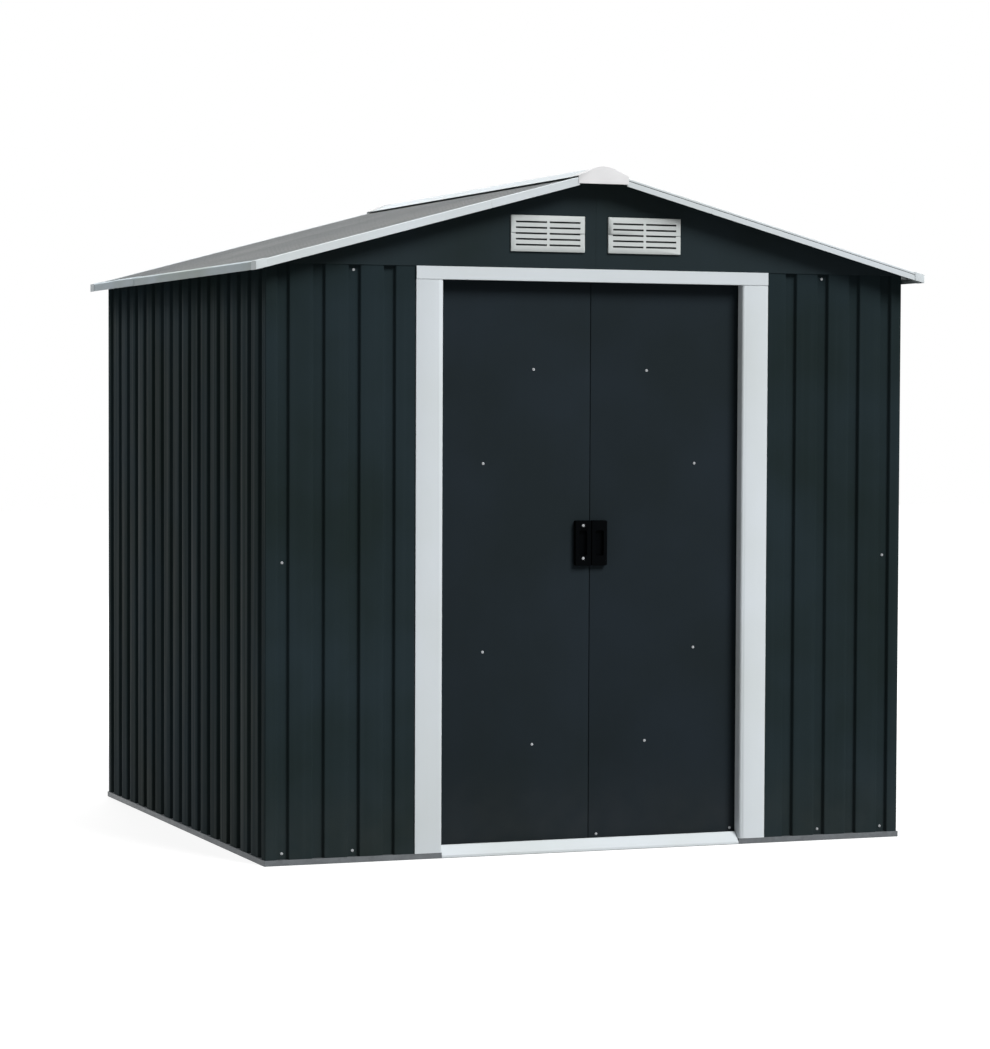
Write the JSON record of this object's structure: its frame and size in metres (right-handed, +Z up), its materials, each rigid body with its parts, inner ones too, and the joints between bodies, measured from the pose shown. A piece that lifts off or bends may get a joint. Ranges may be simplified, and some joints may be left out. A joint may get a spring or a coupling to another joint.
{
  "type": "metal storage shed",
  "caption": "Grooved sheet-metal garden shed with a low pitched roof, louvred gable vents and a pair of sliding doors that run behind the front wall.",
  "frame": {"origin": "on the ground, at the middle of the roof's plan", "axes": "+Z up, +X to the right seen from the doors, +Y from the doors to the back wall"},
  "size_m": [2.026, 1.85, 1.9311],
  "materials": {
    "anthracite_sheet": "baked satin paint on roll-formed steel",
    "door_sheet": "baked satin paint on flat steel",
    "white_trim": "baked satin white paint",
    "galvanised_steel": "hot-dip galvanised",
    "white_vent_plastic": "moulded, fine grain",
    "black_handle_plastic": "moulded, fine grain",
    "nylon": "moulded"
  },
  "bodies": {
    "shed": {"back_gable": "anthracite_sheet", "back_rake_trims": "white_trim", "back_vents": "white_vent_plastic", "back_wall": "anthracite_sheet", "base_rail_back": "galvanised_steel", "base_rail_front": "galvanised_steel", "base_rail_left": "galvanised_steel", "base_rail_right": "galvanised_steel", "door_header": "white_trim", "door_jamb_left": "white_trim", "door_jamb_right": "white_trim", "door_threshold": "white_trim", "door_track": "galvanised_steel", "eave_corner_caps": "white_trim", "eave_trim_left": "white_trim", "eave_trim_right": "white_trim", "front_gable": "anthracite_sheet", "front_rake_trims": "white_trim", "front_vents": "white_vent_plastic", "front_wall_left": "anthracite_sheet", "front_wall_right": "anthracite_sheet", "left_wall": "anthracite_sheet", "mid_rail_back": "galvanised_steel", "mid_rails_front": "galvanised_steel", "mid_rails_side": "galvanised_steel", "ridge_beam": "galvanised_steel", "ridge_cap": "white_trim", "ridge_end_caps": "white_trim", "right_wall": "anthracite_sheet", "roof_left": "anthracite_sheet", "roof_purlins": "galvanised_steel", "roof_right": "anthracite_sheet", "top_rail_back": "galvanised_steel", "top_rails_side": "galvanised_steel"},
    "left_door": {"left_door_leaf": "door_sheet", "left_door_braces": "galvanised_steel", "left_door_handle": "black_handle_plastic", "left_door_rollers": "nylon", "left_door_guides": "nylon"},
    "right_door": {"right_door_leaf": "door_sheet", "right_door_braces": "galvanised_steel", "right_door_handle": "black_handle_plastic", "right_door_rollers": "nylon", "right_door_guides": "nylon"}
  },
  "joints": [
    {"name": "left_door_slide", "type": "slide", "parent": "shed", "child": "left_door", "axis": [-1, 0, 0], "range_m": [0, 0.402]},
    {"name": "right_door_slide", "type": "slide", "parent": "shed", "child": "right_door", "axis": [1, 0, 0], "range_m": [0, 0.402]}
  ]
}
